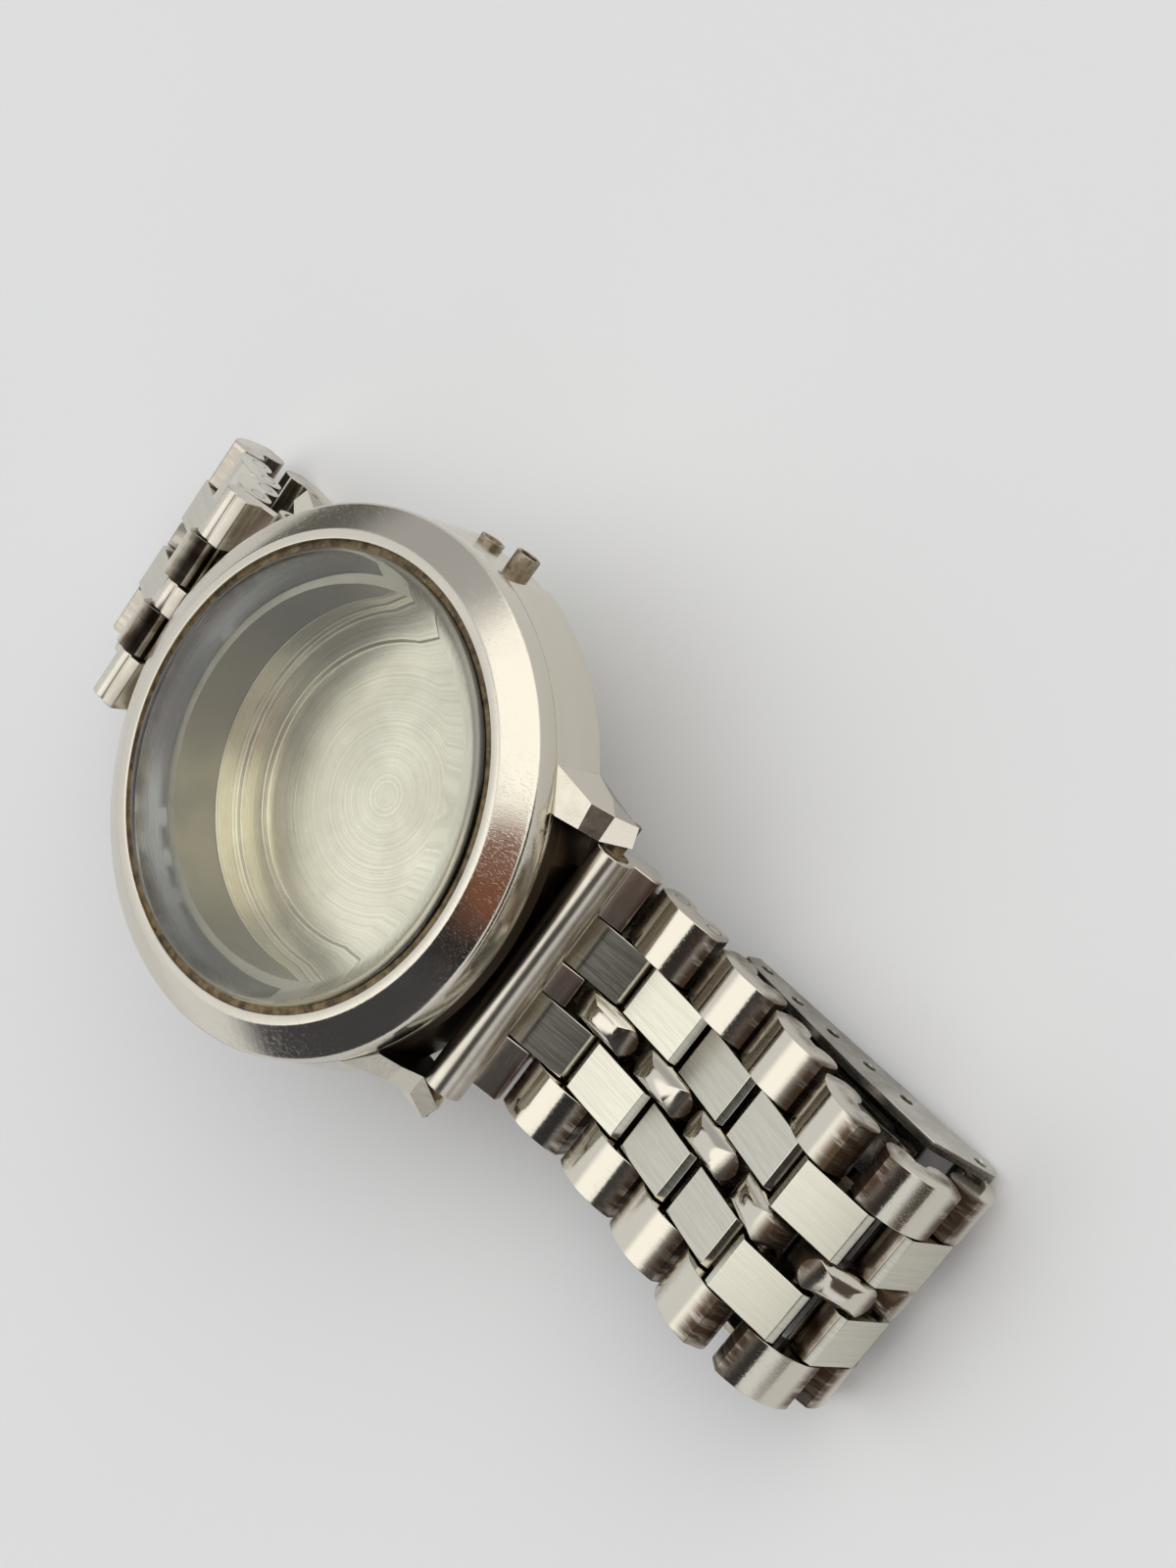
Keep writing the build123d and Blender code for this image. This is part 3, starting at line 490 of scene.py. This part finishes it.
def clasp_finish():
    """Pressed steel of the clasp: satin grey on the sides, with patches of grime and painted shade between them.
    """
    material, tree, shader, place = principled("satin_clasp")
    wear = used(tree, BLOTCHES, place, Scale=380)
    lines = used(tree, BRUSH, stretched(tree, place, scale=(9000, 500, 9000)))
    # Grime and painted shade inside the cover, between its sides
    inner = spanned(tree, maths(tree, "ABSOLUTE", xyz(tree, place)[0]), COVER_INSIDE)
    pale, grimy_and_shaded = mixed(tree, wear, *CLASP_TONES), mixed(tree, wear, *CLASP_GRIME_AND_SHADE)
    rough = varied(tree, lines, start=0.18, change=0.2)
    dress(tree, shader, mixed(tree, inner, pale, grimy_and_shaded), rough, [(lines, 0.4, 5e-6)])
    return material


def turned_finish():
    """Turned steel round Z: a cream case back with cloudy patches, a flange greyed as painted shade, with grime
    and painted shade at its top.
    """
    material, tree, shader, place = principled("turned_back")
    fine, coarse = used(tree, RINGS, place).node.outputs
    clouds = used(tree, BLOTCHES, place, Scale=170)
    pale = mixed(tree, ranged(tree, coarse, 0.35, 0.65), *BACK_TONES)
    colour = mixed(tree, maths(tree, "MULTIPLY", clouds, 0.45), pale, BACK_CLOUD)
    height = xyz(tree, place)[2]
    # Painted shade: the flange wall is greyer than the floor of the back
    colour = mixed(tree, spanned(tree, height, FLANGE_FOOT), colour, FLANGE_SHADE_GREY)
    patches = ranged(tree, clouds, 0.1, 0.7, to_low=0.45, to_high=1.0)
    # Grime and painted shade at the top of the flange, in patches
    shade_and_grime = maths(tree, "MULTIPLY", spanned(tree, height, FLANGE_TOP), patches)
    rough = varied(tree, fine, start=0.2, change=0.2)
    bumps = [(coarse, 0.3, 6e-6), (fine, 0.7, 4e-6)]
    dress(tree, shader, mixed(tree, shade_and_grime, colour, FLANGE_GRIME_AND_SHADE), rough, bumps)
    return material


def tube_finish():
    """Satin steel of the rolled end tubes: lines along the tube, worn, and dirt with painted shade at 6's far
    side.
    """
    material, tree, shader, place = principled("satin_tube")
    lines = used(tree, BRUSH, stretched(tree, place, scale=(500, 16000, 16000)))
    wear = used(tree, BLOTCHES, place, Scale=400)
    # Dirt and painted shade on the far side of 6's end piece, in patches
    beyond = spanned(tree, xyz(tree, place)[1], TUBE_END_Y)
    patches = ranged(tree, wear, 0.0, 0.5, to_low=0.55, to_high=1.0)
    dirt_and_shade = maths(tree, "MULTIPLY", beyond, patches)
    colour = mixed(tree, dirt_and_shade, mixed(tree, wear, *TUBE_TONES), TUBE_GRIME_AND_SHADE)
    rough = varied(tree, lines, start=0.16, change=0.16)
    dress(tree, shader, colour, rough, [(lines, 0.4, 2e-6)])
    return material


def brass_finish():
    """Worn brass of the case tubes: dull, patched with grey where the plating is left."""
    material, tree, shader, place = principled("worn_brass")
    wear = used(tree, BLOTCHES, place, Scale=1300)
    rough = varied(tree, wear, start=0.5, change=-0.2)
    dress(tree, shader, mixed(tree, wear, *BRASS_TONES), rough, [(wear, 0.4, 30e-6)])
    return material


def gasket_finish():
    """Old brown gasket with dried grime: matt, mottled from dark brown to tan; also put on the spring bars as
    painted shade.
    """
    material, tree, shader, place = principled("old_gasket_and_bar_shade", metallic=0.0)
    wear = used(tree, BLOTCHES, place, Scale=1500)
    colour = mixed(tree, wear, *GASKET_TONES)
    dress(tree, shader, colour, rough=0.8, heights=[(wear, 0.6, 60e-6)])
    return material


def crystal_finish():
    """Clear acrylic with a very faint cool tone; it lets the room's light through to the inside."""
    material, tree, shader, place = principled("clear_crystal", metallic=0.0)
    shader.inputs["Transmission Weight"].default_value = 1.0
    shader.inputs["IOR"].default_value = 1.45
    scratches = used(tree, HAIRLINES, place, Density=0.3)
    dress(tree, shader, GLASS_TINT, rough=0.0, heights=[(scratches, 0.12, 2e-6)])
    path = add(tree, "ShaderNodeLightPath")
    lighting = maths(
        tree, "MAXIMUM", path.outputs["Is Shadow Ray"], path.outputs["Is Diffuse Ray"]
    )
    open_way = add(tree, "ShaderNodeBsdfTransparent")
    either = add(tree, "ShaderNodeMixShader")
    for value, into in zip((lighting, shader.outputs[0], open_way.outputs[0]), either.inputs):
        join(tree, value, into)
    join(tree, either.outputs[0], tree.nodes["Material Output"].inputs["Surface"])
    return material


BEZEL_STEEL = bezel_finish()
CASE_STEEL = case_finish()
CLASP_STEEL = clasp_finish()
LINK_POLISHED = polished_finish()
LINK_BRUSHED = brushed_finish()
TURNED_STEEL = turned_finish()
TUBE_STEEL = tube_finish()
BRASS = brass_finish()
GASKET_AND_BAR_SHADE = gasket_finish()
CRYSTAL = crystal_finish()


# ---------------------------------------------------------------- making of pieces
# Corners nearer than this in metres are one; the angles are in degrees
SAME_PLACE = 1e-6
FLAT_ANGLE = 0.4
WORN_CORNER = 32
LATHE_CORNER = 30
LATHE_COUNT = 256
CURVE_STEPS = 4
LONGEST_CURVE = 0.45


def body_of_node(name):
    """The CAD body that carries a node."""
    for body, members in frame["record"]["behaviour"]["bodies"].items():
        if name in members:
            return body
    raise ValueError(name)


def edited(mesh, *steps):
    """A mesh taken through some of the three steps below."""
    shape = bmesh.new()
    shape.from_mesh(mesh)
    for step in steps:
        step(shape)
    shape.to_mesh(mesh)
    shape.free()


def merge_corners(shape):
    """Corners in the same place become one."""
    bmesh.ops.remove_doubles(shape, verts=shape.verts, dist=SAME_PLACE)


def join_flats(shape):
    """Faces in one plane become one."""
    limit = math.radians(FLAT_ANGLE)
    bmesh.ops.dissolve_limit(shape, angle_limit=limit, verts=shape.verts, edges=shape.edges)


def face_outwards(shape):
    """Every face is turned to look out."""
    bmesh.ops.recalc_face_normals(shape, faces=shape.faces)


def round_edges(piece, width, corner, **settings):
    """A bevel of width mm on the edges that turn by more than corner degrees."""
    edges = piece.modifiers.new("rounded_edges", "BEVEL")
    edges.width = width * MM
    edges.segments = 2
    edges.limit_method = "ANGLE"
    edges.angle_limit = math.radians(corner)
    for name, value in settings.items():
        setattr(edges, name, value)


def worn_copy(node, material, rounding):
    """A CAD node's mesh, its triangles merged, flat faces joined and edges rounded by rounding mm."""
    mesh = nodes[node].data.copy()
    mesh.name = f"{node}_worn"
    edited(mesh, merge_corners, join_flats)
    shade_smooth(mesh)
    mesh.materials.clear()
    mesh.materials.append(material)
    piece = bpy.data.objects.new(f"{node}_worn", mesh)
    bpy.context.scene.collection.objects.link(piece)
    round_edges(piece, rounding, WORN_CORNER, use_clamp_overlap=False, miter_outer="MITER_ARC")
    flats = piece.modifiers.new("even_flats", "WEIGHTED_NORMAL")
    flats.keep_sharp = True
    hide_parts(node)
    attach(piece, body_of_node(node))
    return piece


def as_the_cad(names, material):
    """CAD nodes kept as they are, in a material."""
    for name in names:
        nodes[name].data.materials.clear()
        nodes[name].data.materials.append(material)


def revolved(radius, height, count):
    """A closed profile carried round Z in count steps: its x, y and z, and the faces between them."""
    turn = np.linspace(0, 2 * math.pi, count, endpoint=False)
    x, y = np.outer(np.cos(turn), radius), np.outer(np.sin(turn), radius)
    steps = len(radius)
    ring, along = np.meshgrid(np.arange(count), np.arange(steps), indexing="ij")
    after, nxt = (ring + 1) % count, (along + 1) % steps
    corners = (ring * steps + along, after * steps + along, after * steps + nxt, ring * steps + nxt)
    faces = np.stack(corners, axis=-1).reshape(-1, 4).tolist()
    return x, y, np.broadcast_to(height, x.shape), faces


def lathe(name, profile, material, body, node):
    """A closed profile of (radius, height) in mm carried once round Z."""
    r, z = (np.array(column) * MM for column in zip(*profile))
    x, y, height, faces = revolved(r, z, LATHE_COUNT)
    verts = np.stack([x, y, height], axis=-1).reshape(-1, 3)
    piece = new_piece(name, verts, faces, material)
    edited(piece.data, merge_corners, face_outwards)
    shade_smooth(piece.data)
    piece.data.set_sharp_from_angle(angle=math.radians(LATHE_CORNER))
    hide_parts(node)
    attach(piece, body)


def rounded(profile):
    """A closed profile of (radius, height, rounding) in mm, as (radius, height): each corner with
    a rounding becomes a curve that starts and ends that far away, or nearer on a short side."""
    points = np.array([point[:2] for point in profile], float)
    before, after = np.roll(points, 1, axis=0), np.roll(points, -1, axis=0)
    made = []
    for (_, _, rounding), corner, last, following in zip(profile, points, before, after):
        if rounding == 0:
            made.append(tuple(corner))
            continue
        back, on = last - corner, following - corner
        back_len, on_len = np.hypot(*back), np.hypot(*on)
        reach = min(rounding, LONGEST_CURVE * back_len, LONGEST_CURVE * on_len)
        start, end = corner + back / back_len * reach, corner + on / on_len * reach
        t = np.linspace(0, 1, CURVE_STEPS + 1)[:, None]
        curve = (1 - t) ** 2 * start + 2 * t * (1 - t) * corner + t**2 * end
        made.extend(map(tuple, curve))
    return made


# ---------------------------------------------------------------- bezel, crystal and gaskets
# In mm: heights and radii as the CAD has them, then those of the two profiles
bezel_low, bezel_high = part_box("bezel")
crystal_low, crystal_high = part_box("crystal")
TOP = bezel_high[2] / MM
RIM = bezel_high[0] / MM
GROOVE = bezel_low[2] / MM
GLASS_R = crystal_high[0] / MM
SEAT = crystal_low[2] / MM
DOME = crystal_high[2] / MM
LIP_R = 16.05
FLAT_R = 16.75
BEVEL_DROP = 1.34
NECK_R = 17.2
NECK_RISE = 1.15
BORE_R = 15.4
DOME_R = 14.43
DOME_RISE = 0.69
DOME_POINTS = 12
SHOULDER = ((GLASS_R, SEAT + 0.8), (15.26, TOP + 0.32), (15.0, TOP + 0.5), (14.7, TOP + 0.62))

bezel_profile = rounded((
    (LIP_R, TOP, 0.12), (FLAT_R, TOP, 0.14), (RIM, TOP - BEVEL_DROP, 0.3), (RIM, GROOVE, 0.12),
    (NECK_R, GROOVE, 0), (NECK_R, GROOVE + NECK_RISE, 0), (BORE_R, GROOVE + NECK_RISE, 0),
    (BORE_R, SEAT, 0), (LIP_R, SEAT, 0),
))
lathe("bezel_ring", bezel_profile, BEZEL_STEEL, "case", "bezel")

dome_top = [
    (r, TOP + DOME_RISE + (DOME - TOP - DOME_RISE) * (1 - (r / DOME_R) ** 2))
    for r in np.linspace(0, DOME_R, DOME_POINTS).tolist()
]
crystal_profile = [(0, SEAT), (GLASS_R, SEAT), *SHOULDER, *dome_top[::-1]]
lathe("crystal_glass", crystal_profile, CRYSTAL, "case", "crystal")

as_the_cad(("crystal_gasket", "back_gasket"), GASKET_AND_BAR_SHADE)
worn_copy("rehaut_ring", TURNED_STEEL, rounding=0.05)
worn_copy("case_back", TURNED_STEEL, rounding=0.1)


# ---------------------------------------------------------------- mid case
# In mm: the turned ring under the bezel as (radius, height), each side cut in RING_CUTS, and
# where it is cut flat, between the lugs below LUG_GAP_TOP and beside the tubes
RING_PROFILE = (
    (14.55, 1.80), (17.8, 1.80), (19.3, 3.90), (19.17, 6.0), (19.06, 6.98), (19.05, 7.02),
    (19.0, GROOVE), (17.15, GROOVE), (15.4, GROOVE + 1.1), (15.4, 8.5), (13.43, 8.5),
    (13.43, 4.23), (14.55, 4.23),
)
RING_COUNT = 360
RING_CUTS = 4
OUTER_WALL = 16
LUG_GAP_TOP = 7.0
LUG_GAP_FLAT = 17.75
TUBE_FLAT = 18.8
TUBE_FLAT_Y = (-2.4, 5.2)
TUBE_FLAT_LOW = 3.85

# One lug in mm, a closed block whose corners are numbered in this order
LUG_IN = 9.97
LUG_TOP = ((12.5, 14.4, 8.25), (LUG_IN, 16.5, 8.25), (10.02, 17.6, 6.85), (11.7, 17.0, 6.39))
LUG_WAIST = ((LUG_IN, 18.45, 5.4), (11.75, 18.1, 4.95))
LUG_NOSE = ((11.01, 20.4, 4.7), (12.3, 19.88, 4.7))
LUG_ROOT = ((LUG_IN, 12.0, 8.2), (12.5, 13.0, 8.2))
LUG_FOOT = (
    (LUG_IN, 18.3, 2.6), (LUG_IN, 12.0, 2.6), (10.5, 19.4, 3.2), (11.8, 18.9, 3.2), (12.2, 13.2, 2.6),
)
LUG_SIDE = ((12.84, 14.88, 4.4), (12.35, 16.78, 4.4))
LUG_CORNERS = LUG_TOP + LUG_WAIST + LUG_NOSE + LUG_ROOT + LUG_FOOT + LUG_SIDE
LUG_FACES = (
    (0, 1, 2, 3), (3, 2, 4, 5), (5, 4, 6, 7), (0, 3, 5, 16, 15), (5, 7, 16), (16, 7, 13),
    (15, 16, 13, 14), (0, 15, 14, 9), (8, 1, 0, 9), (8, 11, 10, 4, 2, 1), (4, 10, 12, 6),
    (6, 12, 13, 7), (11, 14, 13, 12, 10), (9, 14, 11, 8),
)
LUG_MIRRORS = ((1, 1, 1), (-1, 1, 1), (1, -1, 1), (-1, -1, 1))
CASE_CORNER = 9
CASE_ROUNDING = 0.1


def ring_of_case():
    """RING_PROFILE carried round Z with its flats; gives its corners in metres and its faces."""
    profile = []
    for here, following in zip(RING_PROFILE, RING_PROFILE[1:] + RING_PROFILE[:1]):
        t = np.linspace(0, 1, RING_CUTS, endpoint=False)[:, None]
        profile.append((1 - t) * np.array(here) + t * np.array(following))
    r, z = np.concatenate(profile).T
    x, y, height, faces = revolved(r, z, RING_COUNT)
    outer = r > OUTER_WALL
    between_lugs = (height < LUG_GAP_TOP) & outer
    y = np.where(between_lugs, np.clip(y, -LUG_GAP_FLAT, LUG_GAP_FLAT), y)
    near, far = TUBE_FLAT_Y
    beside_tubes = (y > near) & (y < far) & (height > TUBE_FLAT_LOW) & outer
    x = np.where(beside_tubes, np.minimum(x, TUBE_FLAT), x)
    return np.stack([x, y, height], axis=-1).reshape(-1, 3) * MM, faces


def mid_case_piece():
    """The ring and its four lugs in one mesh, the lugs mirrored in X and in Y."""
    verts, faces = ring_of_case()
    lug = np.array(LUG_CORNERS) * MM
    for mirror in LUG_MIRRORS:
        start = len(verts)
        verts = np.concatenate([verts, lug * np.array(mirror)])
        faces = faces + [tuple(corner + start for corner in face) for face in LUG_FACES]
    piece = new_piece("mid_case_polished", verts, faces, CASE_STEEL)
    shade_smooth(piece.data)
    edited(piece.data, face_outwards)
    piece.data.set_sharp_from_angle(angle=math.radians(CASE_CORNER))
    round_edges(piece, CASE_ROUNDING, CASE_CORNER, use_clamp_overlap=True)
    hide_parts("mid_case")
    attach(piece, "case")


mid_case_piece()
for tube in ("crown_tube", "second_tube"):
    worn_copy(tube, BRASS, rounding=0.05)
for side in ("six", "twelve"):
    worn_copy(f"{side}_end_piece", TUBE_STEEL, rounding=0.08)
# The spring bars take the dark gasket material as painted shade, so they sink into the shade of the end tubes
as_the_cad(("six_spring_bar", "twelve_spring_bar"), GASKET_AND_BAR_SHADE)


# ---------------------------------------------------------------- bracelet and clasp
def pins_along(side, count, last):
    """The pin centres (y, z) in metres along one side, from the joints and the last pin's place."""
    place = {joint["name"]: joint["pos_m"] for joint in frame["joints"]}
    pins = [place[f"{side}_hinge_{number:02d}"][1:] for number in range(1, count + 1)]
    return np.array(pins + [last])


def link_place(piece, start, end, sign):
    """The attribute link_place of every corner, in metres: x, distance along the link and height
    over its pins; sign says which side of the line from start to end is up."""
    along = (end - start) / np.hypot(*(end - start))
    up = sign * np.array([-along[1], along[0]])
    mesh = piece.data
    co = np.empty(len(mesh.vertices) * 3)
    mesh.vertices.foreach_get("co", co)
    co = co.reshape(-1, 3)
    off = co[:, 1:] - start
    own = np.stack([co[:, 0], off @ along, off @ up], axis=-1)
    layer = mesh.attributes.new("link_place", "FLOAT_VECTOR", "POINT")
    layer.data.foreach_set("vector", own.ravel())


SIX_LINKS = 12
TWELVE_LINKS = 18

bar_low, bar_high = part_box("clasp_spring_bar")
clasp_bar = ((bar_low[1] + bar_high[1]) / 2, (bar_low[2] + bar_high[2]) / 2)
blade_end = [j["pos_m"][1:] for j in frame["joints"] if j["name"] == "blade_end_hinge"][0]
sides = (("six", SIX_LINKS, clasp_bar, -1), ("twelve", TWELVE_LINKS, blade_end, 1))
for side, count, last, sign in sides:
    pins = pins_along(side, count, last)
    for number in range(1, count + 1):
        flat = number % 2 == 1
        piece = worn_copy(
            f"{side}_link_{number:02d}",
            LINK_BRUSHED if flat else LINK_POLISHED,
            rounding=0.05,
        )
        link_place(piece, pins[number - 1], pins[number], sign)

for node in ("clasp_cover", "clasp_outer_blade", "clasp_inner_blade"):
    worn_copy(node, CLASP_STEEL, rounding=0.06)
as_the_cad(("clasp_spring_bar", "cover_hinge_pin", "blade_hinge_pin"), TUBE_STEEL)

bpy.context.scene.view_settings.view_transform = "Standard"
